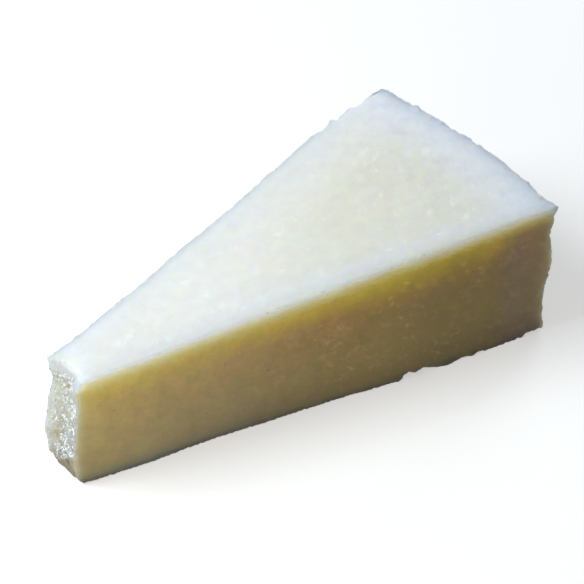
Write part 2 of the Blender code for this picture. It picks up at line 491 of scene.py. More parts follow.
def break_relief(point, calm, form):
    """How far the broken end stands out: facets, granules of two sizes and a rough ground."""
    facets = form.facet * facet_height(point, FACET_SPACING)
    nearest, second, number = cell(point, GRANULE_SPACING)
    rise = min(second - nearest, GRANULE_EDGE) / GRANULE_EDGE
    granules = form.granule * rise * (GRANULE_LEAST + (1 - GRANULE_LEAST) * number)
    fine, _, _ = cell(point, GRAIN_SPACING)
    rough = ROUGH_SHARE * form.granule * noise.fractal(point / ROUGH_SPACING, *ROUGH)
    small = granules + GRAIN_SHARE * form.granule * (0.5 - fine) + rough - GRANULE_SINK * form.granule
    return facets * (1 - CALM_SHARE * calm) + small * (1 - calm)


def rind_relief(point, form):
    """How far the rind stands out: wrinkles and shallow dimples."""
    wrinkles = noise.fractal(point / WRINKLE_SPACING, *WRINKLES)
    nearest, _, number = cell(point, DIMPLE_SPACING)
    dimples = (0.5 - nearest) * DIMPLE_SHARE * number
    return form.rind * (wrinkles - max(dimples, 0))


def nibble_relief(point, distance, form):
    """How much is chipped off near an arris, more in some stretches than in others."""
    patch = max(0.0, noise.noise(point / NIBBLE_PATCHES) + PATCH_LIFT)
    chips = max(0.0, noise.fractal(point / NIBBLE_SPACING, *CHIPS) + CHIP_LIFT)
    near = 1 - min(distance / NIBBLE_REACH, 1)
    return near * (ARRIS_GAIN - form.nibble * chips * (NIBBLE_LEAST + NIBBLE_GAIN * patch))


def break_wander(points):
    """How far the smooth parts of the break reach past their outlines at each point."""
    return np.array([noise.noise(Vector(xyz) / WANDER_SPACING) for xyz in points]) * WANDER_REACH


def break_foot(points, wander):
    """1 on the smooth foot of the break, and 0 above it."""
    return fade(*FOOT, points[:, 2] + FOOT_RISE * points[:, 1] + wander)


def calm_break(points, wander):
    """1 where the break is smooth, and 0 where it is all granules."""
    scoop = fade(*SCOOP, top_gap(points) + wander)
    facet = ease(*FACET_EDGE, points[:, 1] + wander)
    facet *= ease(*FACET_FOOT, points[:, 2] + wander) * fade(*FACET_TOP, points[:, 2] + wander)
    strip = fade(*STRIP, cut_gap(points, -1) + STRIP_WANDER * wander)
    return np.maximum.reduce([scoop, break_foot(points, wander), facet, strip])


def carve(body, tree, form):
    """Moves the skin out and in by the relief of the surface that each point belongs to."""
    noise.seed_set(form.seed)
    points = read_points(body.data)
    normals = read_normals(body.data)
    distances = distance_to(tree, points)
    on_break = fade(*BREAK_RELIEF, tip_gap(points)) * ease(*END_FACING, -normals[:, 0])
    on_rind = fade(*RIND_RELIEF, rind_gap(points)) * ease(*END_FACING, normals[:, 0])
    on_base = ease(*BASE_FACING, -normals[:, 2]) * fade(*BASE_RELIEF, points[:, 2])
    calm = np.zeros(len(points))
    broken = on_break > 0
    calm[broken] = calm_break(points[broken], break_wander(points[broken]))
    raised = np.empty(len(points))
    for i, xyz in enumerate(points):
        point = Vector(xyz)
        height = 0.0
        if on_break[i] < 1 and on_rind[i] < 1:
            height += (1 - on_break[i]) * (1 - on_rind[i]) * cut_relief(point, form)
        if on_break[i] > 0:
            height += on_break[i] * break_relief(point, calm[i], form)
        if on_rind[i] > 0:
            height += on_rind[i] * rind_relief(point, form)
        if distances[i] < NIBBLE_REACH:
            height += (1 - on_break[i]) * nibble_relief(point, distances[i], form)
        raised[i] = height
    raised *= 1 - BASE_CALM * on_base
    points += normals * raised[:, None]
    points[:, 2] = np.maximum(points[:, 2], 0)
    write_points(body.data, points)


def thin(body, form):
    """Leaves triangles where the relief needs them."""
    triangles = sum(len(polygon.vertices) - 2 for polygon in body.data.polygons)
    collapse = body.modifiers.new("thin", "DECIMATE")
    collapse.ratio = form.triangles / triangles
    collapse.use_collapse_triangulate = True
    apply_modifiers(body)


def hollows(body):
    """How deep each point lies below its smoothed surroundings, in metres."""
    points = read_points(body.data)
    add_smooth(body, HOLLOW_ROUNDS)
    graph = bpy.context.evaluated_depsgraph_get()
    evened = read_points(body.evaluated_get(graph).data)
    body.modifiers.clear()
    return ((evened - points) * read_normals(body.data)).sum(axis=1)


def broken_mask(points, normals):
    """1 on the broken end, which goes on round its back edge, and 0 off it."""
    facing = -normals[:, 0]
    broken = np.maximum(ease(*BROKEN_FACING, facing), ease(*BROKEN_INSIDE, edge_gap(points)))
    behind = fade(*BROKEN_BACK, cut_gap(points, 1)) * ease(*BROKEN_BACK, top_gap(points))
    broken = np.maximum(broken, behind * ease(*BROKEN_BACK_FACING, facing))
    return broken * (fade(*BROKEN_DEPTH, tip_gap(points)) * ease(0, STRIP[1], cut_gap(points, -1)))


def top_masks(points, normals):
    """The dry top, which runs on down the scoop, and the scoop's hollow, which is painted darker as shade.
    """
    behind, below = tip_gap(points), top_gap(points)
    scoop = fade(*SCOOP_BACK, behind) * fade(*SCOOP_SIDE_FACING, -normals[:, 1]) * fade(*SCOOP, below)
    top = np.maximum(ease(*TOP_FACING, normals[:, 2]) * fade(*TOP_DEPTH, below), scoop)
    return top, scoop * (ease(*SCOOP_BRIM, below) * fade(*SCOOP_FRONT, behind - below))


def brink_mask(points, normals):
    """1 on the rim above the scoop, where the top starts to turn down."""
    side = RIM_SIDE_SHARE * ease(*RIM_FACING, -normals[:, 1])
    outward = np.maximum(ease(*RIM_FACING, normals[:, 2]), side)
    near = fade(*BRINK_BACK, tip_gap(points)) * fade(*BRINK_DEPTH, top_gap(points))
    return near * (ease(*BRINK_FACING, -normals[:, 0]) * outward)


def core_mask(points):
    """1 well in from the edges of the top, and 0 at them."""
    across = ease(*CORE_FRONT, cut_gap(points, -1)) * ease(*CORE_BACK, cut_gap(points, 1))
    return across * (ease(*CORE_RIND, rind_gap(points)) * ease(*CORE_TIP, tip_gap(points)))


def mark_surfaces(body):
    """Writes what the materials need to know: which surface a point is on, and where on it."""
    points = read_points(body.data)
    normals = read_normals(body.data)
    wander = break_wander(points)
    top, scoop = top_masks(points, normals)
    masks = {
        "rind": fade(*RIND_DEPTH, rind_gap(points)) * ease(*RIND_FACING, normals[:, 0]),
        "broken": broken_mask(points, normals),
        "top": top,
        "scoop": scoop,
        "brink": brink_mask(points, normals),
        "core": core_mask(points),
        "calm": calm_break(points, wander),
        "foot": break_foot(points, wander),
        "below": np.maximum(top_gap(points) / MM, 0),
        "from_front": np.maximum(cut_gap(points, -1) / MM, 0),
        "from_back": np.maximum(cut_gap(points, 1) / MM, 0),
        "from_rind": np.maximum(rind_gap(points) / MM, 0),
        "hollow": np.clip(hollows(body) / MM, -1, 1),
    }
    for name, values in masks.items():
        write_mask(body.data, name, values)


class CHEESE_OT_chunk(bpy.types.Operator):
    """Lays the fine skin of paste and rind over the solid chunk"""

    bl_idname = "cheese.chunk"
    bl_label = "Chunk"

    def execute(self, context):
        form = context.scene.cheese_form
        bm = merged_copy(NODE)
        tree = arris_points(bm, form.fold, form.skin)
        body = add_shape("cheese_body", bm)
        skin_over(body, form)
        smooth_flats(body, tree)
        touch_up(body)
        refine(body, tree)
        carve(body, tree, form)
        thin(body, form)
        body.data.shade_smooth()
        mark_surfaces(body)
        body.data.materials.clear()
        body.data.materials.append(paste_material(context.scene.cheese_colours))
        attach(body, "root")
        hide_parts(NODE)
        return {"FINISHED"}


# ---- The bright grains in the break


class GrainForm(bpy.types.PropertyGroup):
    count: count_property("Grains", "How many bright grains sit in the broken end", 700, 0, 8000)
    smallest: length_property("Smallest", "Width of the smallest grain", 0.20 * MM, 0.05 * MM)
    largest: length_property("Largest", "Width of the largest grain", 0.95 * MM, 0.05 * MM)
    seed: count_property("Seed", "Which of the many scatters of grains is used", 7, 0, 999)


# The grains themselves. The ranges and shares are of a grain's width
GRAIN_SHAPES = 12
CORNER_RANGE = (0.7, 1.15)
LENGTH_RANGE = (0.8, 1.7)
BREADTH_RANGE = (0.6, 1.0)
THICKNESS = 0.8
SUNK = 0.25

# Where a grain may sit, and how a few of them scatter between the crowds
GRAIN_DEPTH = (0.4 * BREAK_REACH, 0.9 * BREAK_REACH)
GRAIN_FACING = (0.1, 0.4)
GRAIN_CALM = 0.6
SCATTER = (0.8, 2.0, 2)
SCATTER_SPACING = 2.0 * MM
SCATTER_SHARE = 0.16
SCATTER_LIFT = 0.1
CROWD_LEAST = 0.12

# Where the grains crowd on the break: along Y and Z, and how far each crowd reaches, in mm
CROWDS = (
    (0.6, 29.0, 1.9),
    (-3.6, 30.5, 1.2),
    (0.7, 24.2, 1.4),
    (-3.1, 22.6, 1.8),
    (0.2, 16.6, 1.6),
    (-2.6, 17.6, 1.3),
    (0.0, 11.6, 1.6),
    (-3.2, 9.8, 1.3),
    (1.5, 9.4, 1.1),
    (0.2, 7.0, 1.2),
    (4.8, 4.2, 1.0),
)


def grain_shapes(rng):
    """Corners and faces of a few uneven crystals, each about 1 across."""
    shapes = []
    for _ in range(GRAIN_SHAPES):
        bm = bmesh.new()
        bmesh.ops.create_icosphere(bm, subdivisions=1, radius=0.5)
        corners = np.array([vert.co * rng.uniform(*CORNER_RANGE) for vert in bm.verts])
        faces = np.array([[vert.index for vert in face.verts] for face in bm.faces])
        shapes.append((corners, faces))
        bm.free()
    return shapes


def join_copies(name, copies):
    """One mesh of many small ones, each given by its corners and its triangles."""
    counts = np.cumsum([0] + [len(corners) for corners, _ in copies])
    corners = np.concatenate([corners for corners, _ in copies])
    faces = np.concatenate([faces + start for (_, faces), start in zip(copies, counts)])
    mesh = bpy.data.meshes.new(name)
    mesh.from_pydata(corners.tolist(), [], faces.tolist())
    return add_object(name, mesh)


def grain_crowd(point):
    """How likely a grain is at a point of the break."""
    y, z = point.y / MM, point.z / MM
    gaps = (((y - crowd_y) ** 2 + (z - crowd_z) ** 2) / reach**2 for crowd_y, crowd_z, reach in CROWDS)
    near = math.exp(-min(gaps))
    scatter = max(0.0, noise.fractal(point / SCATTER_SPACING, *SCATTER) + SCATTER_LIFT)
    return near * (CROWD_LEAST + scatter) + SCATTER_SHARE * scatter


def grain_spots(body, form, rng):
    """Points and normals on the break for the grains."""
    points = read_points(body.data)
    normals = read_normals(body.data)
    calm = np.empty(len(points), np.float32)
    body.data.attributes["calm"].data.foreach_get("value", calm)
    broken = fade(*GRAIN_DEPTH, tip_gap(points)) * ease(*GRAIN_FACING, -normals[:, 0])
    hosts = np.flatnonzero((broken > 0.5) & (calm < GRAIN_CALM)).tolist()
    spots = []
    while len(spots) < form.count:
        i = rng.choice(hosts)
        point = Vector(points[i])
        if rng.random() < grain_crowd(point) * (1 - calm[i]):
            spots.append((point, Vector(normals[i])))
    return spots


class CHEESE_OT_grains(bpy.types.Operator):
    """Sets the bright grains into the broken end"""

    bl_idname = "cheese.grains"
    bl_label = "Grains"

    def execute(self, context):
        form = context.scene.cheese_grains
        rng = random.Random(form.seed)
        shapes = grain_shapes(rng)
        copies = []
        for point, normal in grain_spots(bpy.data.objects["cheese_body"], form, rng):
            corners, faces = rng.choice(shapes)
            width = form.smallest + (form.largest - form.smallest) * rng.random() ** 2
            length = width * rng.uniform(*LENGTH_RANGE)
            stretch = Vector((length, width * rng.uniform(*BREADTH_RANGE), width * THICKNESS))
            turn = Matrix.Rotation(rng.uniform(0, math.tau), 3, "Z")
            lean = normal.to_track_quat("Z", "Y").to_matrix() @ turn @ Matrix.Diagonal(stretch)
            place = point + normal * width * (THICKNESS / 2 - SUNK)
            copies.append((corners @ np.array(lean).T + np.array(place), faces))
        grains = join_copies("break_grains", copies)
        grains.data.materials.append(grain_material(context.scene.cheese_colours))
        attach(grains, "root")
        return {"FINISHED"}


# ---- Materials


class CheeseColours(bpy.types.PropertyGroup):
    # Paste, middle and deep are partly the paste's own colour and partly painted warm shade, which deepens
    # towards the rind
    paste: colour_property("Paste", "The long cuts' paste at the thin end", (0.80, 0.72, 0.355))
    middle: colour_property("Middle paste", "The long cuts halfway to the rind", (0.71, 0.56, 0.185))
    deep: colour_property("Deep paste", "The long cuts towards the rind", (0.59, 0.465, 0.122))
    stale: colour_property("Stale paste", "The long cuts just inside the rind", (0.53, 0.43, 0.245))
    core: colour_property("Core", "The yellower patches well in from the top's edges", (0.805, 0.79, 0.695))
    dry: colour_property("Dry paste", "Paste that has dried white, as on the top", (0.88, 0.853, 0.822))
    broken: colour_property("Broken paste", "The broken end's ground", (0.54, 0.545, 0.53))
    rind: colour_property("Rind", "The natural rind", (0.74, 0.60, 0.35))
    grain: colour_property("Grains", "The bright grains of the break", (0.88, 0.93, 0.97))


# Tints, which multiply a colour's red, green and blue: of the top, of the long cuts, and of the marks on
# the cuts
TOP_NEAR_RIND = (0.955, 0.975, 1.045)
TOP_BRUISE = (0.96, 0.945, 0.985)
TOP_FRONT_ARRIS = (1.10, 1.10, 1.01)
TOP_FRONT_STRIP = (1.03, 1.02, 0.92)
# Painted light on the top along its back edge and at its front corner by the rind
TOP_BACK_STRIP_LIGHT = (1.14, 1.11, 1.06)
TOP_RIND_CORNER_LIGHT = (1.14, 1.13, 1.10)
# Painted shade on the rim above the scoop, where the top turns down
BRINK_SHADE = (0.86, 0.875, 0.89)
# Painted glow: a yellow stripe under the long cuts' top arris, standing in for light that shines through the
# arris
GLOW_BAND_AT_TIP = (0.99, 0.98, 0.78)
GLOW_BAND_AT_RIND = (1.16, 1.32, 0.54)
GLOW_BELOW_BAND = (1.0, 0.99, 0.74)
# Painted shade on the long cuts along the rind
CUT_SHADE_AT_RIND = (0.78, 0.80, 0.86)
# The back cut, which the key lamp lights, is made paler and bluer, so it keeps less of the painted warm
# shade
BACK_CUT = (0.97, 0.925, 1.22)
# Painted light low on the long cuts towards the tip and painted shade low on them towards the rind, painted
# light along the base arris towards the tip, and painted shade near the tip and at the tip arris
LOW_LIGHT_AT_TIP = (1.15, 1.03, 1.06)
LOW_SHADE_AT_RIND = (0.84, 0.74, 0.82)
BASE_ARRIS_LIGHT = (1.30, 1.12, 1.08)
CUT_SHADE_NEAR_TIP = (0.91, 0.93, 0.98)
TIP_ARRIS_SHADE = (0.74, 0.76, 0.92)
PINKER = (1.02, 0.985, 1.03)
GREENER = (0.98, 1.012, 0.955)
LUMP = (1.09, 1.11, 1.20)
FLAKE_AT_TIP = (1.08, 1.11, 1.22)
FLAKE_AT_RIND = (1.38, 1.50, 1.95)
# Painted shade of small pits, as dark specks
PIT_SHADE = (0.62, 0.58, 0.50)

# Colours of the marks and of the small places
FLAKE = (0.96, 0.955, 0.92)
CHIP = (0.97, 0.97, 0.95)
FROST = (0.86, 0.88, 0.93)
# Painted shade of the small nicks along the front top arris
NICK_SHADE = (0.50, 0.49, 0.45)
# The white edge along the long cuts' top: partly dry paste and partly a painted highlight of the top arris
HIGHLIT_EDGE_AT_TIP = (0.86, 0.83, 0.69)
HIGHLIT_EDGE_WHITE = (0.87, 0.855, 0.83)
HIGHLIT_EDGE_AT_RIND = (0.77, 0.77, 0.80)
RIND_STAIN = (0.50, 0.35, 0.155)
# Painted shade in the rind's wrinkles
RIND_CREASE_SHADE = (0.38, 0.26, 0.12)
RIND_BLOOM = (0.86, 0.79, 0.63)
# Olive in patches, and painted shade in the break's gaps
BREAK_OLIVE_AND_GAP_SHADE = (0.47, 0.49, 0.30)
BREAK_CRUMB = (0.80, 0.83, 0.86)
BREAK_SMOOTH = ((0.65, 0.675, 0.69), (0.79, 0.81, 0.83))
# Painted shade on the break's foot, which turns down towards the floor
BREAK_FOOT_SHADE = (0.31, 0.25, 0.13)
# Painted shade in the scoop under the break's top edge, grey-blue with veins
SCOOP_SHADE_VEINS = ((0.58, 0.62, 0.655), (0.64, 0.68, 0.71))
GRAIN_SHADE = (0.70, 0.74, 0.77)

# How the patterns are turned, in degrees. The first turns the long cuts' plane into the pattern's own X
# and Y, and leans it down towards the rind
SIDE_GRAIN = (90, 22, 0)
TOP_GRAIN = (0, 0, 45)
CHIP_TURN = (0, 0, -30)
ARRIS_TURN = (0, 0, -13)
HUE_TURN = (30, 50, 10)
OLIVE_TURN = (20, 0, 0)
VEIN_TURN = (0, 30, 0)

# What the skin keeps for each of its points. Those in the second line are distances in mm
MASKS = (
    *("top", "rind", "broken", "scoop", "foot", "calm", "core", "hollow", "brink"),
    *("below", "from_front", "from_back", "from_rind"),
)

# The way from the thin end of the long cuts to the rind, in mm: where it starts, measured from the
# rind, how long it is, and how far it wanders
WAY_START = 148.0
WAY_LENGTH = 138.0
WAY_WANDER = 10.0


def math_operators(operation):
    """Two methods that add a Math node: for a wire and then a value, and for a value and then a wire."""
    return (
        lambda self, other: self.maths(operation, self, other),
        lambda self, other: self.maths(operation, other, self),
    )


class Wire:
    """A socket's output, on which Python's own operators add Math nodes."""

    def __init__(self, graph, socket):
        self.graph = graph
        self.socket = socket

    def maths(self, operation, *values):
        return self.graph.node("ShaderNodeMath", {"operation": operation}, dict(enumerate(values)))

    __add__, __radd__ = math_operators("ADD")
    __sub__, __rsub__ = math_operators("SUBTRACT")
    __mul__, __rmul__ = math_operators("MULTIPLY")
    __truediv__, __rtruediv__ = math_operators("DIVIDE")
    __lt__, __gt__ = math_operators("LESS_THAN")

    def clamp(self):
        return self.graph.node("ShaderNodeClamp", {}, {"Value": self, "Min": 0.0, "Max": 1.0})

    def ease(self, low, high, shape="SMOOTHSTEP"):
        """0 at low, 1 at high, and a smooth step between them, or a straight one if asked for LINEAR."""
        inputs = {0: self, 1: low, 2: high, 3: 0.0, 4: 1.0}
        return self.graph.node("ShaderNodeMapRange", {"interpolation_type": shape}, inputs)

    def fade(self, low, high):
        """1 at low, 0 at high, and a smooth step between them."""
        return 1 - self.ease(low, high)

    def swing(self, reach):
        """A noise's way up or down from its middle, times a reach."""
        return (self - 0.5) * reach


class Graph:
    """The nodes of a material or a world, made one at a time."""

    def __init__(self, owner, shader="Principled BSDF"):
        owner.use_nodes = True
        self.owner = owner
        self.tree = owner.node_tree
        self.shader = self.tree.nodes[shader]

    def node(self, kind, settings, inputs, output=0):
        """A node of a type, with its settings made first and then its sockets filled or linked."""
        made = self.tree.nodes.new(kind)
        for name, value in settings.items():
            setattr(made, name, value)
        for name, value in inputs.items():
            self.fill(made.inputs[name], value)
        return Wire(self, made.outputs[output])

    def fill(self, socket, value):
        if isinstance(value, Wire):
            self.tree.links.new(value.socket, socket)
        else:
            socket.default_value = value

    def shade(self, **values):
        """Fills the shader's own sockets, given with _ for each space of their names."""
        for name, value in values.items():
            self.fill(self.shader.inputs[name.replace("_", " ")], value)

    def mix(self, first, second, share):
        """A colour between two others."""
        settings = {"data_type": "RGBA", "blend_type": "MIX"}
        return self.node("ShaderNodeMix", settings, {0: share, 6: rgba(first), 7: rgba(second)}, 2)

    def times(self, colour, factor):
        """A colour made lighter or darker by a number."""
        settings = {"operation": "SCALE"}
        return self.node("ShaderNodeVectorMath", settings, {0: colour, "Scale": factor})

    def tint(self, colour, *steps):
        """A colour after some tints, each given with the share of it that counts."""
        settings = {"data_type": "RGBA", "blend_type": "MULTIPLY", "clamp_result": False}
        for factors, share in steps:
            inputs = {0: share, 6: rgba(colour), 7: rgba(factors)}
            colour = self.node("ShaderNodeMix", settings, inputs, 2)
        return colour

    def mask(self, name):
        """A number that the mesh keeps for each of its points."""
        settings = {"attribute_type": "GEOMETRY", "attribute_name": name}
        return self.node("ShaderNodeAttribute", settings, {}, "Fac")

    def points(self, stretch=(1, 1, 1), turn=(0, 0, 0)):
        """The object's own coordinates in millimetres, turned in degrees and then shrunk along each axis."""
        coordinates = self.node("ShaderNodeTexCoord", {}, {}, "Object")
        scale = tuple(MM * share for share in stretch)
        angles = tuple(math.radians(angle) for angle in turn)
        inputs = {"Vector": coordinates, "Rotation": angles, "Scale": scale}
        return self.node("ShaderNodeMapping", {"vector_type": "TEXTURE"}, inputs)

    def noise(self, points, spacing, detail=2, roughness=0.5, output="Fac"):
        settings = {"noise_dimensions": "3D"}
        inputs = {"Vector": points, "Scale": 1 / spacing, "Detail": detail, "Roughness": roughness}
        return self.node("ShaderNodeTexNoise", settings, inputs, output)

    def warp(self, points, spacing, reach):
        """The points, each moved aside by a noise, so that what is drawn on them has uneven outlines."""
        colour = self.noise(points, spacing, output="Color")
        aside = self.node("ShaderNodeVectorMath", {"operation": "SUBTRACT"}, {0: colour, 1: (0.5, 0.5, 0.5)})
        inputs = {0: aside, 1: (reach, reach, reach), 2: points}
        return self.node("ShaderNodeVectorMath", {"operation": "MULTIPLY_ADD"}, inputs)

    def cells(self, points, spacing, output="Distance"):
        """Cells on the plane of the points' own X and Y."""
        settings = {"voronoi_dimensions": "2D", "feature": "F1"}
        inputs = {"Vector": points, "Scale": 1 / spacing, "Randomness": 1.0}
        return self.node("ShaderNodeTexVoronoi", settings, inputs, output)

    def spots(self, points, spacing, share, size, soft):
        """Spots of uneven size in a share of the cells: 1 inside a spot and 0 outside."""
        distance = self.cells(points, spacing)
        colour = self.cells(points, spacing, "Color")
        number = self.node("ShaderNodeSeparateColor", {"mode": "RGB"}, {0: colour}, 0)
        radius = (number / share).clamp() * size * 0.6 + size * 0.4
        return (radius - distance).ease(0.0, soft) * (number < share)

    def bump(self, height):
        """Heights in millimetres as a surface's normal."""
        return self.node("ShaderNodeBump", {}, {"Strength": 1.0, "Distance": MM, "Height": height})


def rgba(colour):
    """A colour as a socket takes it: a wire as it is, and three numbers with an alpha of 1."""
    return colour if isinstance(colour, Wire) else (*colour, 1.0)


class Place:
    """Where on the chunk a point is, by its masks, and the noises that several of its colours share."""

    def __init__(self, g):
        self.points = g.points()
        for name in MASKS:
            setattr(self, name, g.mask(name))
        self.height = g.node("ShaderNodeSeparateXYZ", {}, {0: self.points}, "Z")
        self.slow = g.noise(self.points, 9, 3)
        self.grain = g.noise(self.points, 0.45, 3, 0.6)
        self.drag = g.noise(g.points((5.5, 0.7, 1), SIDE_GRAIN), 1)
        self.toward_rind = (WAY_START - self.from_rind + self.slow.swing(WAY_WANDER)) / WAY_LENGTH


def pale_specks(g, plane, crowd):
    """Pale flakes, flecks and specks on a plane, more of them where it is crowded."""
    uneven = g.warp(plane, 1.4, 1)
    flakes = g.spots(uneven, 8, 0.42, 0.27, 0.26)
    flecks = (g.noise(uneven, 2.1, 1, 0.5) + crowd * 0.08).ease(0.66, 0.84)
    specks = (g.noise(uneven, 1, 2, 0.6) + crowd * 0.06).ease(0.69, 0.86)
    return ((flakes + flecks) * 0.6 + specks * 0.4) * (crowd * 0.8 + 0.2)


def top_colour(g, place, colours):
    """The top: dry and white near its edges, with painted light along its back edge and at its front corner
    by the rind, yellower at its core, bluer towards the rind.
    """
    plane = g.points((1.6, 0.9, 1), TOP_GRAIN)
    mottle = g.noise(plane, 1.6, 3)
    core = place.core * (0.85 + place.slow.swing(0.9) + mottle.swing(0.2))
    colour = g.mix(colours.dry, colours.core, core.clamp())
    colour = g.times(colour, 1 - place.from_rind.ease(90, 120) * 0.035)
    bruise = g.noise(g.points((1.5, 1, 1), TOP_GRAIN), 4, 3).ease(0.48, 0.66)
    colour = g.tint(
        colour,
        (TOP_NEAR_RIND, place.from_rind.fade(4, 26)),
        (TOP_BRUISE, bruise * (1 - place.from_rind.ease(8, 45) * 0.8)),
        (TOP_FRONT_ARRIS, place.from_front.fade(0.3, 3.5)),
        (TOP_FRONT_STRIP, place.from_front.fade(0.8, 5) * place.from_rind.fade(85, 105)),
        # Painted light along the back edge and at the front corner by the rind
        (TOP_BACK_STRIP_LIGHT, place.from_back.fade(0.3, 6) * place.from_rind.ease(16, 40)),
        (TOP_RIND_CORNER_LIGHT, (1 - place.from_front.ease(4, 20) * 0.6) * place.from_rind.fade(4, 15)),
    )
    clouds = g.noise(place.points, 3.6)
    colour = g.times(colour, 1 + mottle.swing(0.04) + clouds.swing(0.12) + place.grain.swing(0.01))
    crowd = g.noise(place.points, 13).ease(0.38, 0.60)
    colour = g.mix(colour, FLAKE, pale_specks(g, plane, crowd) * 0.75)
    chips = g.spots(g.warp(g.points((2.3, 1, 1), CHIP_TURN), 2, 0.5), 6, 0.22, 0.14, 0.10)
    colour = g.mix(colour, CHIP, chips * place.from_rind.ease(14, 30) * 0.55)
    frost = g.noise(g.points((2, 1, 1), TOP_GRAIN), 2.2).ease(0.50, 0.62)
    return g.mix(colour, FROST, frost * place.from_front.fade(1, 5) * 0.35)


def side_colour(g, place, colours):
    """The long cuts: painted warm shade deepening towards the rind, a painted green glow stripe, a white
    edge with a painted highlight, and pale flecks.
    """
    plane = g.points((1.3, 1, 1), SIDE_GRAIN)
    toward = place.toward_rind
    drag = place.drag - 0.5
    # Painted warm shade, deepening from the thin end towards the rind
    colour = g.mix(colours.paste, colours.middle, toward.ease(0.28, 0.66))
    colour = g.mix(colour, colours.deep, toward.ease(0.60, 0.95))
    behind = place.from_back.fade(0.5, 3) * place.from_front.ease(3, 8)
    # Painted glow of light through the top arris, in a stripe below it that yellows further down towards the
    # rind
    glow_band = (place.below + drag * 4).fade(4.8, 11.5 + toward.ease(0.55, 0.75) * 3.5)
    glow_tint = g.mix(GLOW_BAND_AT_TIP, GLOW_BAND_AT_RIND, toward.ease(0.30, 0.75))
    colour = g.tint(
        colour,
        (glow_tint, glow_band * (1 - behind * 0.4)),
        (GLOW_BELOW_BAND, place.below.fade(9, 17) * toward.ease(0.55, 0.75)),
    )
    stale = (place.from_rind + place.slow.swing(6)).fade(8, 20) * place.below.ease(1.5, 6)
    colour = g.mix(colour, colours.stale, stale)
    # Painted shade by the rind, low down towards the rind, near the tip and at the tip arris; painted light
    # low down towards the tip and along the base arris; the back cut keeps less painted warm shade
    colour = g.tint(
        colour,
        (CUT_SHADE_AT_RIND, place.from_rind.fade(1, 8)),
        (BACK_CUT, behind * place.from_rind.ease(6, 20)),
        (g.mix(LOW_LIGHT_AT_TIP, LOW_SHADE_AT_RIND, toward.ease(0.20, 0.45)), place.height.fade(1, 13)),
        (BASE_ARRIS_LIGHT, place.height.fade(0.8, 2.4) * toward.fade(0.40, 0.60)),
        (CUT_SHADE_NEAR_TIP, place.from_rind.ease(126, 136)),
        (TIP_ARRIS_SHADE, place.from_rind.ease(132.5, 138.5)),
    )
    return dry_highlit_edge(g, place, drag, flecked(g, place, plane, drag, colour))


def flecked(g, place, plane, drag, colour):
    """The long cuts' colour with its mottling, lumps, pale flecks, and dark specks painted as the shade of
    small pits.
    """
    toward = place.toward_rind
    mottle = g.noise(plane, 1.5, 4, 0.62)
    clouds = g.noise(place.points, 4.5, 3, 0.55)
    shade = mottle.swing(0.22) + clouds.swing(0.30) + place.grain.swing(0.10) + drag * 0.05
    hue = g.noise(g.points((1, 1, 1), HUE_TURN), 3.6).ease(0.35, 0.65)
    lumps = g.noise(g.warp(plane, 2, 1.5), 3).ease(0.55, 0.70) * place.below.ease(4, 11)
    crowd = g.noise(place.points, 14).ease(0.40, 0.58) * (toward.ease(0.1, 0.6) * 0.7 + 0.3)
    flakes = pale_specks(g, plane, crowd * place.below.ease(3, 9))
    return g.tint(
        g.times(colour, 1 + shade),
        (g.mix(PINKER, GREENER, hue), 1),
        (LUMP, lumps * toward.ease(0.25, 0.65)),
        (g.mix(FLAKE_AT_TIP, FLAKE_AT_RIND, toward.ease(0.35, 0.80)), flakes),
        # Painted shade of small pits
        (PIT_SHADE, g.spots(g.warp(plane, 1.2, 1.4), 10, 0.35, 0.045, 0.03)),
    )


def dry_highlit_edge(g, place, drag, colour):
    """The long cuts' colour under the white edge along their top, which frays downwards: partly dry paste
    and partly a painted highlight of the arris.
    """
    toward = place.toward_rind
    fray = g.noise(g.points((2.2, 2.2, 0.8)), 1, 3).swing(2)
    right = toward.ease(0.66, 0.84) * place.from_rind.ease(12, 30)
    # Dry paste and a painted highlight of the top arris, fraying downwards
    edge = ((place.below + drag * 2.5 + fray - right * 0.4) / (5.2 - right * 0.5)).fade(0.03, 1)
    highlit_edge_colour = g.mix(HIGHLIT_EDGE_AT_TIP, HIGHLIT_EDGE_WHITE, toward.ease(0.35, 0.65))
    highlit_edge_colour = g.mix(HIGHLIT_EDGE_AT_RIND, highlit_edge_colour, place.from_rind.ease(4, 16))
    return g.mix(colour, highlit_edge_colour, edge * (0.80 + right * 0.14))


def rind_colour(g, place, colours):
    """The natural rind: straw, with painted brown shade in its wrinkles, and a pale bloom."""
    stains = g.noise(g.points((1, 1.8, 1)), 6, 4, 0.6).ease(0.42, 0.66)
    colour = g.mix(colours.rind, RIND_STAIN, stains * 0.7)
    # Painted shade in the rind's wrinkles, where the skin lies below its surroundings
    crease_shade = (place.hollow + place.grain.swing(0.2)).ease(-0.02, 0.12)
    colour = g.mix(colour, RIND_CREASE_SHADE, crease_shade * 0.7)
    bloom = g.noise(place.points, 2.4, 4, 0.65).ease(0.50, 0.68)
    return g.mix(colour, RIND_BLOOM, bloom * (1 - crease_shade) * 0.6)


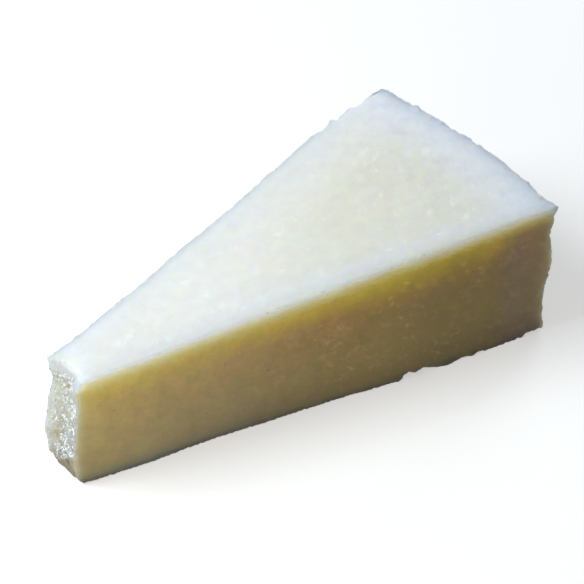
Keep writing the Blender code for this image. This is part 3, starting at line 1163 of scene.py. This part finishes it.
def break_colour(g, place, colours):
    """The broken end: pale grey paste with painted olive shade in its gaps and olive patches, darker towards
    its bottom, with a smooth facet and painted brown shade on its foot.
    """
    # Painted shade in the break's gaps, with olive patches
    gaps = (place.hollow + place.grain.swing(0.25)).ease(-0.02, 0.14)
    olive = g.noise(g.points((1, 1, 1.6), OLIVE_TURN), 2.4, 3).ease(0.46, 0.60)
    # Painted shade: the break's paste is darker towards its bottom
    ground = g.times(colours.broken, 0.66 + place.height.ease(5.5, 10) * 0.34)
    colour = g.mix(ground, BREAK_OLIVE_AND_GAP_SHADE, (gaps * 0.65 + olive * 0.45).clamp())
    crumb = g.noise(place.points, 0.7, 3, 0.65).ease(0.52, 0.66)
    colour = g.mix(colour, BREAK_CRUMB, crumb * 0.5)
    drawn = g.noise(g.points((1, 1, 5)), 0.8).ease(0.40, 0.60)
    colour = g.mix(colour, g.mix(*BREAK_SMOOTH, drawn), place.calm * 0.95)
    # Painted shade on the foot
    return g.mix(colour, BREAK_FOOT_SHADE, place.foot)


def with_nick_shade(g, place, colour):
    """Painted shade of small nicks along the front top arris, most of them on a worn stretch of it."""
    spots = g.spots(g.warp(g.points((2.5, 1, 1), ARRIS_TURN), 0.8, 0.8), 1.3, 0.50, 0.36, 0.25)
    arris = place.from_front.fade(0.4, 1.2) * place.below.fade(0.4, 1.2)
    worn = place.from_rind.ease(45, 60) * place.from_rind.fade(85, 100)
    return g.mix(colour, NICK_SHADE, spots * arris * (worn * 0.6 + 0.15))


def paste_colour(g, place, colours):
    """Every surface's colour, so that the one runs into the other."""
    colour = g.mix(side_colour(g, place, colours), top_colour(g, place, colours), place.top)
    colour = g.mix(colour, rind_colour(g, place, colours), place.rind * place.below.ease(0.6, 2.4))
    colour = g.mix(colour, break_colour(g, place, colours), place.broken)
    # Painted shade in the scoop, with veins
    veins = g.noise(g.points((1, 1, 3), VEIN_TURN), 1.3, 3).ease(0.35, 0.65)
    colour = g.mix(colour, g.mix(*SCOOP_SHADE_VEINS, veins), place.scoop)
    # Painted shade on the rim above the scoop
    return with_nick_shade(g, place, g.tint(colour, (BRINK_SHADE, place.brink)))


def paste_relief(g, place):
    """Relief too fine for the mesh, in millimetres: that of the paste, of the break and of the rind."""
    paste = place.grain * 0.035 + g.noise(place.points, 1.4, 3) * 0.05 + place.drag * 0.03
    crags = g.noise(place.points, 0.28) * 0.10 * place.broken * (1 - place.calm)
    return paste + crags + g.noise(place.points, 0.9, 4, 0.6) * 0.28 * place.rind


def paste_material(colours):
    """Paste and rind in one material."""
    g = Graph(bpy.data.materials.new("cheese_paste"))
    place = Place(g)
    dull = place.rind * 0.2 - place.broken * 0.08 + (place.scoop + place.brink).clamp() * 0.4
    g.shader.subsurface_method = "RANDOM_WALK"
    g.shade(
        Base_Color=paste_colour(g, place, colours),
        Roughness=0.46 + place.grain.swing(0.25) + dull,
        Normal=g.bump(paste_relief(g, place)),
        Subsurface_Weight=1.0,
        Subsurface_Radius=(1.0, 0.75, 0.45),
        Subsurface_Scale=28 * MM,
        Specular_IOR_Level=0.45,
        IOR=1.45,
    )
    return g.owner


def grain_material(colours):
    """The hard white grains of the break, which catch the light."""
    g = Graph(bpy.data.materials.new("cheese_grain"))
    shade = g.noise(g.points(), 1.2)
    g.shade(
        Base_Color=g.mix(colours.grain, GRAIN_SHADE, shade.ease(0.45, 0.65)),
        Roughness=0.12 + shade * 0.25,
        Subsurface_Weight=0.4,
        Subsurface_Radius=(1.0, 0.9, 0.8),
        Subsurface_Scale=0.6 * MM,
        Specular_IOR_Level=0.8,
    )
    return g.owner


def floor_material(studio):
    """A pale floor that is a little bright of itself, so that shadows on it stay light."""
    g = Graph(bpy.data.materials.new("pale_floor"))
    g.shade(
        Base_Color=g.times(tuple(studio.floor), 0.985 + g.noise(g.points(), 40, 3).swing(0.03)),
        Roughness=0.85,
        Emission_Color=(1.0, 1.0, 1.0, 1.0),
        Emission_Strength=studio.floor_glow,
    )
    return g.owner


# ---- The studio


class StudioForm(bpy.types.PropertyGroup):
    azimuth: angle_property("Azimuth", "How far the camera stands round the chunk", -39.528)
    elevation: angle_property("Elevation", "How high above the horizon the camera stands", 39.112)
    distance: length_property("Distance", "How far the camera is from the chunk", 603.4 * MM)
    aside: length_property("Aside", "How far the camera is moved to its own right", 5.0 * MM, -1.0)
    above: length_property("Above", "How far the camera is moved up across its view", 19.1 * MM, -1.0)
    lens: number_property("Focal length", "The camera's focal length in millimetres", 135.6)
    key_power: number_property("Key power", "Power of the soft light at the back left, in watts", 5.5)
    key_colour: colour_property("Key colour", "Colour of the soft light at the back left", (0.90, 0.97, 1.0))
    sky: number_property("Sky", "Brightness of the even light from above", 0.04)
    floor: colour_property("Floor", "Colour of the floor", (0.60, 0.60, 0.60))
    floor_glow: number_property("Floor glow", "How bright the floor is of itself", 0.50)


SENSOR = 36

# The soft lights: the way each one comes from, how far away it is, its width and, apart from the key's,
# its power and colour
KEY = (Vector((-0.60, 0.36, 0.72)), 0.66, 0.42)
FILL = (Vector((-0.85, -0.50, 0.18)), 0.40, 0.30, 0.68, (1.0, 0.88, 0.70))
RIM = (Vector((0.82, 0.42, 0.22)), 0.8, 0.4, 2.7, (0.84, 0.92, 1.0))

# The sky's colours, and between which heights of the line of sight the one turns into the other
SKY_BELOW = (0.10, 0.08, 0.05)
SKY_ABOVE = (0.92, 0.97, 1.0)
SKY_TURNS = (-0.20, 0.12)

FLOOR_RADIUS = 2.6
FLOOR_RISE = 1.2
FLOOR_GAP = 0.02 * MM
RISE_STEPS = 12
FLOOR_STEPS = 96


def add_camera(studio):
    azimuth, elevation = studio.azimuth, studio.elevation
    right = Vector((math.cos(azimuth), math.sin(azimuth), 0))
    back = Vector((math.sin(azimuth), -math.cos(azimuth), 0)) * math.cos(elevation)
    back.z = math.sin(elevation)
    up = back.cross(right)
    data = bpy.data.cameras.new("camera")
    data.lens = studio.lens
    data.sensor_width = SENSOR
    camera = add_object("camera", data)
    place = back * studio.distance + right * studio.aside + up * studio.above
    camera.matrix_world = Matrix.Translation(place) @ Matrix((right, up, back)).transposed().to_4x4()
    bpy.context.scene.camera = camera


def add_light(name, toward, distance, size, power, colour):
    """A soft square light that looks at the chunk's middle."""
    data = bpy.data.lights.new(name, "AREA")
    data.size = size
    data.energy = power
    data.color = colour
    light = add_object(name, data)
    away = toward.normalized()
    turn = away.to_track_quat("Z", "Y").to_matrix().to_4x4()
    light.matrix_world = Matrix.Translation((LOW + HIGH) / 2 + away * distance) @ turn


def add_floor(studio):
    """A round floor that curves up into a backdrop far from the chunk."""
    bm = bmesh.new()
    flat = FLOOR_RADIUS - FLOOR_RISE
    profile = [Vector((0, 0, 0)), Vector((flat, 0, 0))]
    for i in range(1, RISE_STEPS + 1):
        turn = math.radians(90) * i / RISE_STEPS
        profile.append(Vector((flat + FLOOR_RISE * math.sin(turn), 0, FLOOR_RISE * (1 - math.cos(turn)))))
    verts = [bm.verts.new(point) for point in profile]
    edges = [bm.edges.new(pair) for pair in zip(verts, verts[1:])]
    bmesh.ops.spin(
        bm,
        geom=verts + edges,
        cent=(0, 0, 0),
        axis=(0, 0, 1),
        angle=math.tau,
        steps=FLOOR_STEPS,
        use_merge=True,
    )
    bmesh.ops.remove_doubles(bm, verts=bm.verts, dist=MM)
    bmesh.ops.recalc_face_normals(bm, faces=bm.faces)
    bmesh.ops.translate(bm, vec=(0, 0, -FLOOR_GAP), verts=bm.verts)
    floor = add_shape("floor", bm)
    floor.data.shade_smooth()
    floor.data.materials.append(floor_material(studio))
    floor.visible_diffuse = False


def add_sky(studio):
    """Even light from above the horizon, and very little from below it."""
    g = Graph(bpy.data.worlds.new("sky"), "Background")
    sight = g.node("ShaderNodeTexCoord", {}, {}, "Generated")
    height = g.node("ShaderNodeSeparateXYZ", {}, {0: sight}, "Z")
    g.shade(Color=g.mix(SKY_BELOW, SKY_ABOVE, height.ease(*SKY_TURNS, "LINEAR")), Strength=studio.sky)
    bpy.context.scene.world = g.owner


class CHEESE_OT_studio(bpy.types.Operator):
    """Makes the floor, the lights, the sky and the camera"""

    bl_idname = "cheese.studio"
    bl_label = "Studio"

    def execute(self, context):
        studio = context.scene.cheese_studio
        add_camera(studio)
        add_light("key", *KEY, studio.key_power, studio.key_colour)
        add_light("fill", *FILL)
        add_light("rim", *RIM)
        add_floor(studio)
        add_sky(studio)
        context.scene.view_settings.view_transform = "Standard"
        return {"FINISHED"}


# ---- The add-on


class CHEESE_PT_panel(bpy.types.Panel):
    """Lists the pieces of the chunk"""

    bl_idname = "CHEESE_PT_panel"
    bl_label = "Hard Cheese Chunk"
    bl_space_type = "VIEW_3D"
    bl_region_type = "UI"
    bl_category = "Cheese"

    def draw(self, context):
        for name, group in GROUPS.items():
            box = self.layout.box()
            if name in STEPS:
                box.operator(STEPS[name])
            for setting in group.__annotations__:
                box.prop(getattr(context.scene, name), setting)


# What a user sets, by its name in the scene, and the operator that each group belongs to. The colours
# belong to the chunk and to the grains alike
GROUPS = {
    "cheese_form": ChunkForm,
    "cheese_grains": GrainForm,
    "cheese_colours": CheeseColours,
    "cheese_studio": StudioForm,
}
STEPS = {
    "cheese_form": "cheese.chunk",
    "cheese_grains": "cheese.grains",
    "cheese_studio": "cheese.studio",
}
CLASSES = (
    *GROUPS.values(),
    CHEESE_OT_chunk,
    CHEESE_OT_grains,
    CHEESE_OT_studio,
    CHEESE_PT_panel,
)


def register():
    for made in CLASSES:
        bpy.utils.register_class(made)
    for name, group in GROUPS.items():
        setattr(bpy.types.Scene, name, PointerProperty(type=group))


def unregister():
    for name in GROUPS:
        delattr(bpy.types.Scene, name)
    for made in reversed(CLASSES):
        bpy.utils.unregister_class(made)


def main():
    register()
    bpy.ops.cheese.chunk()
    bpy.ops.cheese.grains()
    bpy.ops.cheese.studio()


if __name__ == "__main__":
    main()
